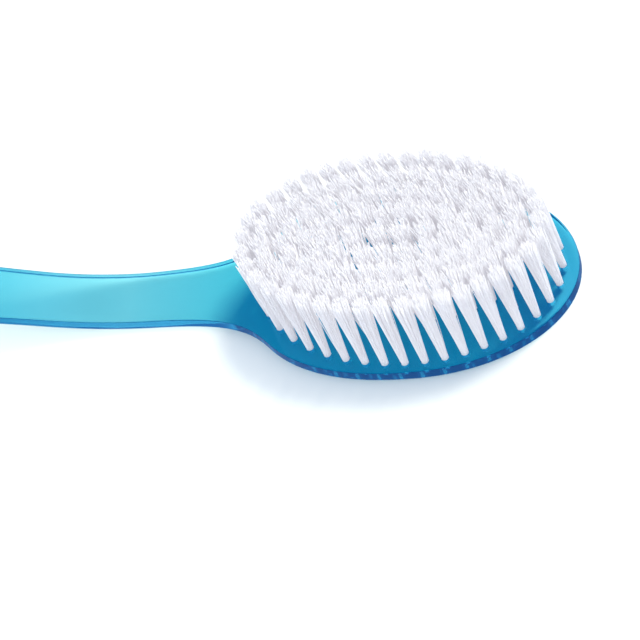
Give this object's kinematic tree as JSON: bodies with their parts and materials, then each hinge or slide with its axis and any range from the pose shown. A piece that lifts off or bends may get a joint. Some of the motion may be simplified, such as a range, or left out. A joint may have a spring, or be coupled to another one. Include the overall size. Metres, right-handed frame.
{
  "type": "back bath brush",
  "caption": "Long-handled bath brush: a clear tinted plastic head, neck and curved handle in one, with tufts of nylon bristles and a hole to hang it by.",
  "frame": {"origin": "middle of the head's flat back, which the brush lies on", "axes": "+X along the brush from the handle towards the head's tip, +Z the way the bristles point"},
  "size_m": [0.3209, 0.0636, 0.0477],
  "materials": {
    "clear_blue_plastic": "clear turquoise-blue tinted plastic, polished",
    "white_nylon": "translucent white nylon filament"
  },
  "bodies": {
    "root": {"brush_body": "clear_blue_plastic", "outer_tuft_01": "white_nylon", "outer_tuft_02": "white_nylon", "outer_tuft_03": "white_nylon", "outer_tuft_04": "white_nylon", "outer_tuft_05": "white_nylon", "outer_tuft_06": "white_nylon", "outer_tuft_07": "white_nylon", "outer_tuft_08": "white_nylon", "outer_tuft_09": "white_nylon", "outer_tuft_10": "white_nylon", "outer_tuft_11": "white_nylon", "outer_tuft_12": "white_nylon", "outer_tuft_13": "white_nylon", "outer_tuft_14": "white_nylon", "outer_tuft_15": "white_nylon", "outer_tuft_16": "white_nylon", "outer_tuft_17": "white_nylon", "outer_tuft_18": "white_nylon", "outer_tuft_19": "white_nylon", "outer_tuft_20": "white_nylon", "outer_tuft_21": "white_nylon", "outer_tuft_22": "white_nylon", "outer_tuft_23": "white_nylon", "outer_tuft_24": "white_nylon", "outer_tuft_25": "white_nylon", "outer_tuft_26": "white_nylon", "outer_tuft_27": "white_nylon", "outer_tuft_28": "white_nylon", "outer_tuft_29": "white_nylon", "outer_tuft_30": "white_nylon", "outer_tuft_31": "white_nylon", "outer_tuft_32": "white_nylon", "outer_tuft_33": "white_nylon", "outer_tuft_34": "white_nylon", "outer_tuft_35": "white_nylon", "outer_tuft_36": "white_nylon", "outer_tuft_37": "white_nylon", "outer_tuft_38": "white_nylon", "outer_tuft_39": "white_nylon", "second_ring_tufts": "white_nylon", "third_ring_tufts": "white_nylon", "fourth_ring_tufts": "white_nylon", "centre_row_tufts": "white_nylon"}
  },
  "joints": []
}
